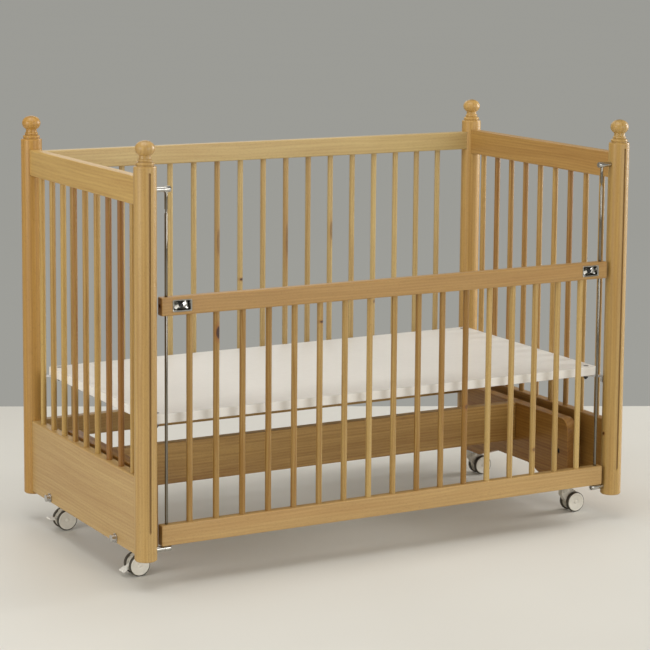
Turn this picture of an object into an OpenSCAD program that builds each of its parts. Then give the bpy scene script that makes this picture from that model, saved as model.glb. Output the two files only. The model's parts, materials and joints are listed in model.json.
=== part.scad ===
// Baby crib with one drop side, on twin-wheel casters.
// Millimetres. X runs along the crib, +Y points to the back, +Z up, floor at Z = 0.

/* [Frame] */
// Post axis to post axis along X
post_pitch_x = 1256; // [1100:1:1500]
// Post axis to post axis along Y
post_pitch_y = 662; // [560:1:800]
// Post diameter
post_d = 50; // [40:1:70]
// Underside of the posts above the floor
post_base_z = 68; // [60:1:90]
// Shoulder of the posts, where the turned finial starts
post_top_z = 940; // [800:1:1100]
// Ball radius of the finial
ball_r = 22; // [16:0.5:26]
// Depth of the stopped flutes in the posts
flute_depth = 2.8; // [1:0.1:4]
// Radius of a flute's round bottom
flute_r = 2.3; // [1.5:0.1:3]
// Thickness of end rails, end boards and back rails
board_t = 26; // [18:1:32]

/* [End panels] */
// Underside and top of the end top rails
end_rail_z0 = 852; // [780:1:900]
end_rail_z1 = 915; // [840:1:960]
// Underside and top of the end boards
end_board_z0 = 74; // [68:1:100]
end_board_z1 = 251; // [200:1:320]
// Spindle diameter
spindle_d = 14; // [10:0.5:20]
// Spindle spacing in the ends
end_pitch = 66.4; // [50:0.1:75]
// Spindles in each end
end_count = 9; // [7:1:11]

/* [Back side] */
// Underside and top of the back top rail
back_rail_z0 = 863; // [800:1:900]
back_rail_z1 = 909; // [840:1:940]
// Underside and top of the back bottom rail
back_low_z0 = 199; // [150:1:340]
back_low_z1 = 249; // [180:1:380]
// Spindle spacing in the long sides
side_pitch = 65.3; // [50:0.1:75]
// Spindles in each long side
side_count = 17; // [13:2:21]

/* [Drop side] */
// Half length of the drop side
side_half = 594; // [560:1:600]
// Thickness of its rails
side_t = 22; // [18:1:28]
// Underside and top of its top rail, side lowered
side_top_z0 = 610; // [580:1:640]
side_top_z1 = 651; // [600:1:690]
// Underside and top of its bottom rail, side lowered
side_low_z0 = 96; // [90:1:130]
side_low_z1 = 143; // [120:1:180]
// How far the side lifts
side_travel = 208; // [150:1:260]
// Guide rod diameter and its distance from the crib centre
rod_d = 7; // [6:0.5:10]
rod_x = 578.5; // [560:0.5:590]
// Rod pin diameter and the heights of its axes
pin_d = 12; // [10:0.5:16]
pin_top_z = 887; // [860:1:900]
pin_low_z = 89; // [85:0.1:90]

/* [Platform] */
// Mattress platform length, width and thickness
plat_x = 1200; // [1100:1:1400]
plat_y = 600; // [550:1:700]
plat_t = 22; // [16:1:30]
// Top of the platform
plat_z1 = 384; // [300:1:500]
// Corner bolt positions
plat_bolt_x = 580; // [560:1:590]
plat_bolt_y = 283; // [260:1:290]

/* [Underframe] */
// Inner face of the caster boards
carrier_x0 = 558; // [540:1:570]
// Thickness of the caster boards
carrier_t = 30; // [24:1:36]
// Half length, top, foot underside and arch height of the caster boards
carrier_half = 244; // [220:1:270]
carrier_z1 = 241; // [200:1:280]
carrier_z0 = 66; // [60:1:80]
arch_z = 96.5; // [80:0.5:120]
// Half width of the arch
arch_top = 75; // [50:1:120]
// Half width of the arch at the floor side
arch_foot = 160; // [100:1:180]
// Underside of the long stretcher
stretcher_z0 = 142; // [120:1:180]

/* [Casters] */
// Wheel radius
wheel_r = 25; // [20:0.5:35]
// Width of one wheel
wheel_w = 10; // [8:0.5:14]
// Gap between the two wheels of a caster
wheel_gap = 18; // [14:0.5:24]
// Offset of the axle from the swivel axis
trail = 24; // [15:0.5:30]
// Pin of the brake tab: offset from the swivel axis, and height
brake_x = 38; // [36:0.5:40]
brake_z = 28; // [26:0.5:30]
// Angle of a brake tab when it is free, and when it is pressed down
brake_free = 4; // [0:1:8]
brake_pressed = -33; // [-36:1:-20]
// Swivel axis positions
caster_x = 573; // [560:1:590]
caster_y = 213; // [190:1:230]

/* [Hidden] */
$fn = 72;
px = post_pitch_x / 2;
py = post_pitch_y / 2;
pr = post_d / 2;
plat_z0 = plat_z1 - plat_t;
latch_z = (side_top_z0 + side_top_z1) / 2 + 0.5;
latch_x = 544.5;
top_groove_z = latch_z + side_travel;
carrier_x1 = carrier_x0 + carrier_t;
end_in = px - board_t / 2;
gap = 0.1;

// ---------- shared shapes ----------

// A box given by its two corners
module span(a, b) {
    translate(a) cube([b[0] - a[0], b[1] - a[1], b[2] - a[2]]);
}

// A cylinder along X from x0 to x1
module bar_x(x0, x1, y, z, d) {
    translate([x0, y, z]) rotate([0, 90, 0]) cylinder(d = d, h = x1 - x0);
}

// A cylinder along Y from y0 to y1
module bar_y(x, y0, y1, z, d) {
    translate([x, y0, z]) rotate([-90, 0, 0]) cylinder(d = d, h = y1 - y0);
}

// ---------- posts ----------

module post_blank() {
    rotate_extrude($fn = 96) {
        polygon([[0, post_base_z], [pr - 2, post_base_z], [pr, post_base_z + 2],
            [pr, post_top_z - 3.5], [pr - 0.9, post_top_z - 1], [pr - 3, post_top_z],
            [pr - 5.6, post_top_z + 0.3], [pr - 5.6, post_top_z + 1.8],
            [pr - 4.9, post_top_z + 2.8], [pr - 4.7, post_top_z + 4.6],
            [pr - 5.4, post_top_z + 6.6], [pr - 7.4, post_top_z + 8.2],
            [pr - 10, post_top_z + 8.9], [pr - 10, post_top_z + 9.8],
            [pr - 9.3, post_top_z + 10.9], [pr - 9.3, post_top_z + 12.6],
            [pr - 10.3, post_top_z + 14.2], [pr - 11.7, post_top_z + 15.6],
            [pr - 12, post_top_z + 18], [pr - 12, post_top_z + 26], [0, post_top_z + 26]]);
        translate([0, post_top_z + 37]) scale([ball_r / 18, 1])
            intersection() {
                circle(r = 18);
                translate([0, -20]) square([20, 40]);
            }
    }
}

// A stopped flute cut from a point dx, dy away from the post axis
module flute(dx, dy) {
    r = flute_r;
    translate([dx, dy, 134]) cylinder(r = r, h = post_top_z - 16 - 134, $fn = 32);
    translate([dx, dy, 134]) sphere(r = r, $fn = 32);
    translate([dx, dy, post_top_z - 16]) sphere(r = r, $fn = 32);
}

// sx and sy are the signs of the corner
module post(sx, sy) {
    f = pr + flute_r - flute_depth;
    difference() {
        translate([sx * px, sy * py, 0]) post_blank();
        translate([sx * px, sy * py, 0]) flute(0, sy * f);
        // mortises for the end rail and the end board
        translate([sx * px, sy * (py - 22), 0]) {
            translate([0, 0, (end_rail_z0 + end_rail_z1) / 2])
                cube([board_t + 2 * gap, 16.2, end_rail_z1 - end_rail_z0 + 2 * gap], center = true);
            translate([0, 0, (end_board_z0 + end_board_z1) / 2])
                cube([board_t + 2 * gap, 16.2, end_board_z1 - end_board_z0 + 2 * gap], center = true);
        }
        // mortises for the back rails, or holes for the rod pins in front
        if (sy > 0) {
            translate([sx * (px - 22), py, (back_rail_z0 + back_rail_z1) / 2])
                cube([16.2, board_t + 2 * gap, back_rail_z1 - back_rail_z0 + 2 * gap], center = true);
            translate([sx * (px - 22), py, (back_low_z0 + back_low_z1) / 2])
                cube([16.2, board_t + 2 * gap, back_low_z1 - back_low_z0 + 2 * gap], center = true);
        } else {
            for (z = [pin_low_z, pin_top_z])
                bar_x(sx > 0 ? px - 30 : -px + 10 - gap, sx > 0 ? px - 10 + gap : -px + 30, -py, z, pin_d + 2 * gap);
            // spare fixing hole for a lower platform height
            bar_x(sx > 0 ? px - 30 : -px + 12, sx > 0 ? px - 12 : -px + 30, -py, 221, 6.5);
        }
        // screw hole of the platform bracket
        translate([sx * px, sy * py, plat_z0 - 9.5]) rotate([0, 0, atan2(-sy, -sx)])
            rotate([0, 90, 0]) translate([0, 0, 10]) cylinder(d = 4 + 2 * gap, h = 20, $fn = 32);
    }
}

module post_FL() { color([0.76, 0.62, 0.40]) post(-1, -1); }
module post_FR() { color([0.76, 0.62, 0.40]) post(1, -1); }
module post_BL() { color([0.76, 0.62, 0.40]) post(-1, 1); }
module post_BR() { color([0.76, 0.62, 0.40]) post(1, 1); }

// ---------- end panels ----------

module end_top_rail(s) {
    difference() {
        translate([s * px, 0, (end_rail_z0 + end_rail_z1) / 2])
            cube([board_t, 2 * (py - 14), end_rail_z1 - end_rail_z0], center = true);
        for (i = [0 : end_count - 1])
            translate([s * px, (i - (end_count - 1) / 2) * end_pitch, end_rail_z0 - 1])
                cylinder(d = spindle_d + 2 * gap, h = 13.2, $fn = 40);
    }
}

module end_board(s) {
    difference() {
        translate([s * px, 0, (end_board_z0 + end_board_z1) / 2])
            cube([board_t, 2 * (py - 14), end_board_z1 - end_board_z0], center = true);
        for (i = [0 : end_count - 1])
            translate([s * px, (i - (end_count - 1) / 2) * end_pitch, end_board_z1 - 12.2])
                cylinder(d = spindle_d + 2 * gap, h = 14, $fn = 40);
        // through holes for the cap bolts, blind holes for the inner bolts
        for (y = [-196, 196]) {
            bar_x(s > 0 ? px - 20 : -px - 20, s > 0 ? px + 20 : -px + 20, y, 86, 8 + 2 * gap);
            bar_x(s > 0 ? px - 20 : -px - 5 - gap, s > 0 ? px + 5 + gap : -px + 20, y * 204 / 196, 155, 8 + 2 * gap);
        }
    }
}

module end_spindles(s) {
    for (i = [0 : end_count - 1])
        translate([s * px, (i - (end_count - 1) / 2) * end_pitch, end_board_z1 - 12])
            cylinder(d = spindle_d, h = end_rail_z0 - end_board_z1 + 24, $fn = 40);
}

module end_top_rail_L() { color([0.78, 0.64, 0.42]) end_top_rail(-1); }
module end_top_rail_R() { color([0.78, 0.64, 0.42]) end_top_rail(1); }
module end_board_L() { color([0.76, 0.62, 0.41]) end_board(-1); }
module end_board_R() { color([0.76, 0.62, 0.41]) end_board(1); }
module end_spindles_L() { color([0.74, 0.58, 0.35]) end_spindles(-1); }
module end_spindles_R() { color([0.74, 0.58, 0.35]) end_spindles(1); }

// ---------- fixed back side ----------

module back_rail(z0, z1, hole_z) {
    difference() {
        translate([0, py, (z0 + z1) / 2])
            cube([2 * (px - 14), board_t, z1 - z0], center = true);
        for (i = [0 : side_count - 1])
            translate([(i - (side_count - 1) / 2) * side_pitch, py, hole_z])
                cylinder(d = spindle_d + 2 * gap, h = 14, $fn = 40);
    }
}

module back_top_rail() {
    color([0.78, 0.66, 0.45]) back_rail(back_rail_z0, back_rail_z1, back_rail_z0 - 1.8);
}

module back_bottom_rail() {
    color([0.74, 0.60, 0.40]) back_rail(back_low_z0, back_low_z1, back_low_z1 - 12.2);
}

module back_spindles() {
    color([0.74, 0.58, 0.35])
        for (i = [0 : side_count - 1])
            translate([(i - (side_count - 1) / 2) * side_pitch, py, back_low_z1 - 12])
                cylinder(d = spindle_d, h = back_rail_z0 - back_low_z1 + 24, $fn = 40);
}

// ---------- drop side, shown lowered ----------

module side_top_rail() {
    color([0.74, 0.56, 0.36])
        difference() {
            span([-side_half, -py - side_t / 2, side_top_z0], [side_half, -py + side_t / 2, side_top_z1]);
            for (i = [0 : side_count - 1])
                translate([(i - (side_count - 1) / 2) * side_pitch, -py, side_top_z0 - 1])
                    cylinder(d = spindle_d + 2 * gap, h = 7.2, $fn = 40);
            for (s = [-1, 1]) {
                // bore round the guide rod
                translate([s * rod_x, -py, side_top_z0 - 1])
                    cylinder(d = rod_d + 1, h = side_top_z1 - side_top_z0 + 2, $fn = 40);
                // latch pocket and the cross bore for its bolt
                translate([s * latch_x, -py - side_t / 2 + 7.6, latch_z])
                    cube([43 + 2 * gap, 19, 23 + 2 * gap], center = true);
                bar_x(s > 0 ? 560 : -rod_x, s > 0 ? rod_x : -560, -py, latch_z, 7);
                // the drill's entry, open at the end of the rail
                bar_x(s > 0 ? rod_x : -side_half - 1, s > 0 ? side_half + 1 : -rod_x, -py, latch_z, 9.5);
            }
        }
}

module side_bottom_rail() {
    color([0.76, 0.60, 0.40])
        difference() {
            span([-side_half, -py - side_t / 2, side_low_z0], [side_half, -py + side_t / 2, side_low_z1]);
            for (i = [0 : side_count - 1])
                translate([(i - (side_count - 1) / 2) * side_pitch, -py, side_low_z1 - 12.2])
                    cylinder(d = spindle_d + 2 * gap, h = 14, $fn = 40);
            for (s = [-1, 1])
                translate([s * rod_x, -py, side_low_z0 - 1])
                    cylinder(d = rod_d + 1, h = side_low_z1 - side_low_z0 + 2, $fn = 40);
        }
}

module side_spindles() {
    color([0.74, 0.58, 0.35])
        for (i = [0 : side_count - 1])
            translate([(i - (side_count - 1) / 2) * side_pitch, -py, side_low_z1 - 12])
                cylinder(d = spindle_d, h = side_top_z0 - side_low_z1 + 18, $fn = 40);
}

// Pressed metal box let into the top rail, with a thin flange on its face
module latch_box(s) {
    f = -py - side_t / 2;
    translate([s * latch_x, 0, latch_z])
        difference() {
            union() {
                translate([-21.5, f, -11.5]) cube([43, 17, 23]);
                translate([-23.5, f - 1.2, -13.5]) cube([47, 1.2, 27]);
            }
            translate([-20, f - 2, -10]) cube([40, 17.5, 20]);
            bar_x(s > 0 ? 15 : -25, s > 0 ? 25 : -15, -py, 0, 7);
        }
}

// Bolt with its finger grip, drawn back
module latch_bolt(s) {
    f = -py - side_t / 2;
    bar_x(s > 0 ? 538 : -574.2, s > 0 ? 574.2 : -538, -py, latch_z, 6);
    translate([s * 544, f + 1.4, latch_z]) rotate([-90, 0, 0]) cylinder(d = 13, h = 13);
    translate([s * 544 - 4, f + 3, latch_z - 8]) cube([8, 11, 16]);
}

module latch_box_L() { color([0.78, 0.78, 0.80]) latch_box(-1); }
module latch_box_R() { color([0.78, 0.78, 0.80]) latch_box(1); }
module latch_bolt_L() { color([0.85, 0.85, 0.87]) latch_bolt(-1); }
module latch_bolt_R() { color([0.85, 0.85, 0.87]) latch_bolt(1); }

// Rod with a groove at each locking height
module guide_rod(s) {
    translate([s * rod_x, -py, 0])
        difference() {
            translate([0, 0, pin_low_z - 4]) cylinder(d = rod_d, h = pin_top_z - pin_low_z + 8, $fn = 40);
            for (z = [latch_z, top_groove_z])
                translate([0, 0, z - 4.5])
                    difference() {
                        cylinder(d = rod_d + 2, h = 9, $fn = 40);
                        translate([0, 0, -1]) cylinder(d = 4, h = 11, $fn = 40);
                    }
        }
}

module guide_rod_L() { color([0.72, 0.72, 0.74]) guide_rod(-1); }
module guide_rod_R() { color([0.72, 0.72, 0.74]) guide_rod(1); }

module rod_pins() {
    color([0.80, 0.80, 0.82])
        for (s = [-1, 1], low = [0, 1]) {
            z = low ? pin_low_z : pin_top_z;
            difference() {
                union() {
                    bar_x(s > 0 ? 570 : -px + 10, s > 0 ? px - 10 : -570, -py, z, pin_d);
                    bar_x(s > 0 ? 569 : -584, s > 0 ? 584 : -569, -py, z, pin_d + 1.6);
                    bar_x(s > 0 ? 567.8 : -569, s > 0 ? 569 : -567.8, -py, z, pin_d - 0.6);
                }
                translate([s * rod_x, -py, low ? z - 4.2 : z - 10])
                    cylinder(d = rod_d + 2 * gap, h = 14.2, $fn = 40);
            }
        }
}

// ---------- mattress platform ----------

module platform() {
    color([0.90, 0.88, 0.85])
        difference() {
            translate([-plat_x / 2, -plat_y / 2, plat_z0]) cube([plat_x, plat_y, plat_t]);
            for (sx = [-1, 1], sy = [-1, 1])
                translate([sx * plat_bolt_x, sy * plat_bolt_y, plat_z0 - 1]) {
                    cylinder(d = 6 + 2 * gap, h = plat_t + 2, $fn = 32);
                    translate([0, 0, plat_t - 2.1]) cylinder(d = 13.4, h = 4);
                }
        }
}

module platform_bolts() {
    color([0.20, 0.20, 0.21])
        for (sx = [-1, 1], sy = [-1, 1])
            translate([sx * plat_bolt_x, sy * plat_bolt_y, 0]) {
                translate([0, 0, plat_z0 - 11]) cylinder(d = 6, h = plat_t + 9, $fn = 32);
                translate([0, 0, plat_z1 - 3.1]) cylinder(d = 13, h = 3);
            }
}

module platform_nuts() {
    color([0.22, 0.22, 0.23])
        for (sx = [-1, 1], sy = [-1, 1])
            translate([sx * plat_bolt_x, sy * plat_bolt_y, plat_z0 - 8.2])
                difference() {
                    cylinder(d = 12, h = 5, $fn = 6);
                    translate([0, 0, -1]) cylinder(d = 6 + 2 * gap, h = 8, $fn = 32);
                }
}

// Steel angle from each corner bolt to the post, at 45 degrees in plan
module platform_brackets() {
    color([0.62, 0.62, 0.63])
        for (sx = [-1, 1], sy = [-1, 1])
            translate([sx * px, sy * py, 0]) rotate([0, 0, atan2(-sy, -sx)])
                difference() {
                    union() {
                        translate([pr + 0.2, -8, plat_z0 - 3.05]) cube([52, 16, 3]);
                        translate([pr + 0.2, -8, plat_z0 - 16]) cube([3, 16, 15.95]);
                    }
                    translate([67.9, 0, plat_z0 - 4]) cylinder(d = 6 + 2 * gap, h = 5, $fn = 32);
                    translate([pr - 1, 0, plat_z0 - 9.5]) rotate([0, 90, 0])
                        cylinder(d = 4 + 2 * gap, h = 6, $fn = 32);
                }
}

module bracket_screws() {
    color([0.70, 0.70, 0.72])
        for (sx = [-1, 1], sy = [-1, 1])
            translate([sx * px, sy * py, plat_z0 - 9.5]) rotate([0, 0, atan2(-sy, -sx)])
                rotate([0, 90, 0]) {
                    translate([0, 0, 11]) cylinder(d = 4, h = pr - 7, $fn = 32);
                    translate([0, 0, pr + 3.2]) cylinder(d = 8, h = 2.4, $fn = 32);
                }
}

// ---------- underframe ----------

// Outline of a caster board in Y (across) and Z (up)
module carrier_outline() {
    r = 35;
    difference() {
        union() {
            translate([-carrier_half, carrier_z0]) square([2 * carrier_half, carrier_z1 - r - carrier_z0]);
            translate([-carrier_half + r, carrier_z0]) square([2 * (carrier_half - r), carrier_z1 - carrier_z0]);
            for (s = [-1, 1]) translate([s * (carrier_half - r), carrier_z1 - r]) circle(r = r);
        }
        polygon([[-arch_foot, carrier_z0 - 1], [-arch_foot, carrier_z0], [-arch_top - 6, arch_z - 2.2],
            [-arch_top + 6, arch_z], [arch_top - 6, arch_z], [arch_top + 6, arch_z - 2.2],
            [arch_foot, carrier_z0], [arch_foot, carrier_z0 - 1]]);
    }
}

module carrier(s) {
    x0 = s > 0 ? carrier_x0 : -carrier_x1;
    difference() {
        translate([x0, 0, 0]) rotate([90, 0, 90]) linear_extrude(carrier_t) carrier_outline();
        for (y = [-196, 196]) {
            bar_x(x0 - 1, x0 + carrier_t + 1, y, 86, 8 + 2 * gap);
            bar_x(x0 - 1, x0 + carrier_t + 1, y * 204 / 196, 155, 8 + 2 * gap);
            // counterbore for the inner bolt head
            bar_x(s > 0 ? carrier_x0 - 1 : -carrier_x0 - 8, s > 0 ? carrier_x0 + 8 : -carrier_x0 + 1,
                y * 204 / 196, 155, 14);
            for (dx = [-11, 11], dy = [-15, 15])
                translate([s * caster_x + dx, y * caster_y / 196 + dy, carrier_z0 - 1])
                    cylinder(d = 4 + 2 * gap, h = 14, $fn = 24);
        }
        // bolts into the stretcher, heads let into the outer face
        for (z = [166, 216]) {
            bar_x(x0 - 1, x0 + carrier_t + 1, 0, z, 8 + 2 * gap);
            bar_x(s > 0 ? carrier_x1 - 6 : -carrier_x1 - 1, s > 0 ? carrier_x1 + 1 : -carrier_x1 + 6, 0, z, 14);
        }
    }
}

module carrier_L() { color([0.70, 0.55, 0.36]) carrier(-1); }
module carrier_R() { color([0.70, 0.55, 0.36]) carrier(1); }

module stretcher() {
    color([0.72, 0.57, 0.37])
        difference() {
            span([-carrier_x0, -13, stretcher_z0], [carrier_x0, 13, carrier_z1]);
            for (s = [-1, 1], z = [166, 216])
                bar_x(s > 0 ? carrier_x0 - 32 : -carrier_x0 - 1, s > 0 ? carrier_x0 + 1 : -carrier_x0 + 32,
                    0, z, 8 + 2 * gap);
        }
}

module stretcher_bolts() {
    color([0.25, 0.25, 0.26])
        for (s = [-1, 1], z = [166, 216]) {
            bar_x(s > 0 ? carrier_x0 - 31 : -carrier_x1 + 3, s > 0 ? carrier_x1 - 3 : -carrier_x0 + 31, 0, z, 8);
            bar_x(s > 0 ? carrier_x1 - 6 : -carrier_x1 + 1, s > 0 ? carrier_x1 - 1 : -carrier_x1 + 6, 0, z, 13);
        }
}

// Chrome cap bolts through the end boards and spacers into the feet
module cap_bolts() {
    color([0.85, 0.85, 0.87])
        for (s = [-1, 1], y = [-196, 196]) {
            bar_x(s > 0 ? carrier_x0 + 4 : -px - 14, s > 0 ? px + 14 : -carrier_x0 - 4, y, 86, 8);
            bar_x(s > 0 ? px + 13 : -px - 15.5, s > 0 ? px + 15.5 : -px - 13, y, 86, 22);
            bar_x(s > 0 ? px + 15.5 : -px - 25, s > 0 ? px + 25 : -px - 15.5, y, 86, 17);
        }
}

module carrier_bolts() {
    color([0.25, 0.25, 0.26])
        for (s = [-1, 1], y = [-204, 204]) {
            bar_x(s > 0 ? carrier_x0 + 4 : -px - 4, s > 0 ? px + 4 : -carrier_x0 - 4, y, 155, 8);
            bar_x(s > 0 ? carrier_x0 + 3 : -carrier_x0 - 8, s > 0 ? carrier_x0 + 8 : -carrier_x0 - 3, y, 155, 13);
        }
}

module spacers() {
    color([0.74, 0.60, 0.40])
        for (s = [-1, 1], p = [[-196, 86], [196, 86], [-204, 155], [204, 155]])
            difference() {
                bar_x(s > 0 ? carrier_x1 : -end_in, s > 0 ? end_in : -carrier_x1, p[0], p[1], 24);
                bar_x(s > 0 ? carrier_x1 - 1 : -end_in - 1, s > 0 ? end_in + 1 : -carrier_x1 + 1,
                    p[0], p[1], 8 + 2 * gap);
            }
}

// ---------- casters ----------

// Fixed top plates with their king pins
module caster_plates() {
    color([0.66, 0.66, 0.68])
        for (sx = [-1, 1], sy = [-1, 1])
            translate([sx * caster_x, sy * caster_y, 0]) {
                difference() {
                    translate([-15, -19, carrier_z0 - 2.5]) cube([30, 38, 2.5]);
                    for (dx = [-11, 11], dy = [-15, 15])
                        translate([dx, dy, carrier_z0 - 4]) cylinder(d = 4 + 2 * gap, h = 6, $fn = 24);
                }
                translate([0, 0, 43]) cylinder(d = 8, h = carrier_z0 - 43, $fn = 48);
            }
}

module caster_screws() {
    color([0.60, 0.60, 0.62])
        for (sx = [-1, 1], sy = [-1, 1], dx = [-11, 11], dy = [-15, 15])
            translate([sx * caster_x + dx, sy * caster_y + dy, carrier_z0 - 2.5]) {
                translate([0, 0, -1]) cylinder(d = 4, h = 15, $fn = 24);
                translate([0, 0, -1.2]) cylinder(d = 7, h = 1.2, $fn = 24);
            }
}

// Swivelling hood: head round the king pin, cheek between the wheels, axle stubs.
// The axle lies at X = s * trail from the swivel axis. A braked fork has a slotted
// boss at its outer end, with the pin of the brake tab across it.
module fork(s, braked) {
    a = wheel_gap / 2 - 1;
    difference() {
        union() {
            translate([0, 0, 50]) cylinder(d = 26, h = 12.5, $fn = 48);
            translate([0, a, 0]) rotate([90, 0, 0]) linear_extrude(2 * a)
                union() {
                    translate([s * trail, wheel_r]) circle(r = 20);
                    polygon([[s * -12, 62.5], [s * 12, 62.5], [s * (trail + 14), 45], [s * trail, 25],
                        [s * 4, 22], [s * -12, 44]]);
                }
            bar_y(s * trail, -a - wheel_w + 0.9, a + wheel_w - 0.9, wheel_r, 6);
        }
        translate([0, 0, 42]) cylinder(d = 8.1, h = 30, $fn = 48);
        // pocket that the brake tab swings in
        if (braked)
            translate([s * brake_x, 6, brake_z]) rotate([90, 0, 0]) linear_extrude(12)
                union() {
                    circle(r = 4.3, $fn = 48);
                    polygon([[s * -1.5, 3.5], [s * 1, 4], [s * 30, 9.5], [s * 30, -26], [s * 1, -3.9]]);
                }
    }
    if (braked) bar_y(s * brake_x, -7, 7, brake_z, 3);
}

module fork_at(sx, sy) {
    translate([sx * caster_x, sy * caster_y, 0]) fork(sx, sx < 0);
}

module fork_FL() { color([0.72, 0.71, 0.68]) fork_at(-1, -1); }
module fork_FR() { color([0.72, 0.71, 0.68]) fork_at(1, -1); }
module fork_BL() { color([0.72, 0.71, 0.68]) fork_at(-1, 1); }
module fork_BR() { color([0.72, 0.71, 0.68]) fork_at(1, 1); }

// One wheel disc with its outer face to the side t, and its tyre
module wheel_disc(sx, sy, t) {
    g = wheel_gap / 2;
    y0 = sy * caster_y + (t > 0 ? g : -g - wheel_w);
    x = sx * (caster_x + trail);
    difference() {
        bar_y(x, y0, y0 + wheel_w, wheel_r, 2 * wheel_r - 6);
        bar_y(x, t > 0 ? y0 - 1 : y0 + 1.6, t > 0 ? y0 + wheel_w - 1.6 : y0 + wheel_w + 1, wheel_r, 6.8);
    }
}

module tyre(sx, sy, t) {
    g = wheel_gap / 2;
    y0 = sy * caster_y + (t > 0 ? g : -g - wheel_w);
    translate([sx * (caster_x + trail), y0, wheel_r]) rotate([-90, 0, 0])
        difference() {
            cylinder(r = wheel_r, h = wheel_w);
            translate([0, 0, -1]) cylinder(r = wheel_r - 2.9, h = wheel_w + 2);
        }
}

module wheel_FL_front() { color([0.80, 0.79, 0.76]) wheel_disc(-1, -1, -1); }
module wheel_FL_back() { color([0.80, 0.79, 0.76]) wheel_disc(-1, -1, 1); }
module wheel_FR_front() { color([0.80, 0.79, 0.76]) wheel_disc(1, -1, -1); }
module wheel_FR_back() { color([0.80, 0.79, 0.76]) wheel_disc(1, -1, 1); }
module wheel_BL_front() { color([0.80, 0.79, 0.76]) wheel_disc(-1, 1, -1); }
module wheel_BL_back() { color([0.80, 0.79, 0.76]) wheel_disc(-1, 1, 1); }
module wheel_BR_front() { color([0.80, 0.79, 0.76]) wheel_disc(1, 1, -1); }
module wheel_BR_back() { color([0.80, 0.79, 0.76]) wheel_disc(1, 1, 1); }

module tyre_FL_front() { color([0.22, 0.21, 0.19]) tyre(-1, -1, -1); }
module tyre_FL_back() { color([0.22, 0.21, 0.19]) tyre(-1, -1, 1); }
module tyre_FR_front() { color([0.22, 0.21, 0.19]) tyre(1, -1, -1); }
module tyre_FR_back() { color([0.22, 0.21, 0.19]) tyre(1, -1, 1); }
module tyre_BL_front() { color([0.22, 0.21, 0.19]) tyre(-1, 1, -1); }
module tyre_BL_back() { color([0.22, 0.21, 0.19]) tyre(-1, 1, 1); }
module tyre_BR_front() { color([0.22, 0.21, 0.19]) tyre(1, 1, -1); }
module tyre_BR_back() { color([0.22, 0.21, 0.19]) tyre(1, 1, 1); }

// Brake tab on the left casters, hinged at the outer end of the fork
// The tab turns on its pin by a degrees: positive lifts it, negative presses it down
module brake_tab(sy, a) {
    translate([-caster_x - brake_x, sy * caster_y, brake_z]) rotate([0, a, 0])
        difference() {
            union() {
                bar_y(0, -5.6, 5.6, 0, 7);
                translate([-15, -5.6, -2]) cube([15, 11.2, 4]);
                translate([0, 10, 0]) rotate([90, 0, 0]) linear_extrude(20)
                    polygon([[-14.4, -2], [-24, -2.4], [-28, -1.4], [-29.6, 0.6], [-29.2, 2.4],
                        [-27, 2.8], [-23, 1.8], [-14.4, 2]]);
            }
            bar_y(0, -7, 7, 0, 3.7);
        }
}

module brake_tab_FL() { color([0.86, 0.85, 0.82]) brake_tab(-1, brake_pressed); }
module brake_tab_BL() { color([0.86, 0.85, 0.82]) brake_tab(1, brake_free); }

// ---------- assembly ----------
post_FL();
post_FR();
post_BL();
post_BR();
end_top_rail_L();
end_top_rail_R();
end_board_L();
end_board_R();
end_spindles_L();
end_spindles_R();
back_top_rail();
back_bottom_rail();
back_spindles();
side_top_rail();
side_bottom_rail();
side_spindles();
latch_box_L();
latch_box_R();
latch_bolt_L();
latch_bolt_R();
guide_rod_L();
guide_rod_R();
rod_pins();
platform();
platform_bolts();
platform_nuts();
platform_brackets();
bracket_screws();
carrier_L();
carrier_R();
stretcher();
stretcher_bolts();
cap_bolts();
carrier_bolts();
spacers();
caster_plates();
caster_screws();
fork_FL();
fork_FR();
fork_BL();
fork_BR();
wheel_FL_front();
wheel_FL_back();
wheel_FR_front();
wheel_FR_back();
wheel_BL_front();
wheel_BL_back();
wheel_BR_front();
wheel_BR_back();
tyre_FL_front();
tyre_FL_back();
tyre_FR_front();
tyre_FR_back();
tyre_BL_front();
tyre_BL_back();
tyre_BR_front();
tyre_BR_back();
brake_tab_FL();
brake_tab_BL();
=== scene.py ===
import json
import math
import random

import bmesh
import bpy
from mathutils import Matrix, Vector

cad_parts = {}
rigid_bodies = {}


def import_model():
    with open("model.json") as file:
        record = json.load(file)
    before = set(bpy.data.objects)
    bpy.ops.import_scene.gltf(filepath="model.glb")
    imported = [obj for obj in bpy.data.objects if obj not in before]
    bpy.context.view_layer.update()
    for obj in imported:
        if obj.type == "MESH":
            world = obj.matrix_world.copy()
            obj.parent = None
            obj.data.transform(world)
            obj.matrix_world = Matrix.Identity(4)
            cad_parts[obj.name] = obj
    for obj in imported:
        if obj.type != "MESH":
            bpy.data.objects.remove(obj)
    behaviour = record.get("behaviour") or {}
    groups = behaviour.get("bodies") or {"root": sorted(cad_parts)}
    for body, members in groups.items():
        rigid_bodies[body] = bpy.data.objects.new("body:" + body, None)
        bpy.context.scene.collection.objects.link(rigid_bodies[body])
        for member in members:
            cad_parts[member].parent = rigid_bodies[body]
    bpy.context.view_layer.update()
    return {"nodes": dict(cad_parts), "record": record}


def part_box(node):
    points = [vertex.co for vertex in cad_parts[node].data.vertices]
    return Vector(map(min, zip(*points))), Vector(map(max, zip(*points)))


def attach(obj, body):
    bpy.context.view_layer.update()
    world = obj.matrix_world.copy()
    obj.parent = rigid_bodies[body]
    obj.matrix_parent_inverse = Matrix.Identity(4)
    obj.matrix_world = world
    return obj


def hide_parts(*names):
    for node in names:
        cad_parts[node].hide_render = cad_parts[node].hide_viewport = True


for o in list(bpy.data.objects):
    bpy.data.objects.remove(o)
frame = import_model()
NODES = frame["nodes"]
MM = 0.001
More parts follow.
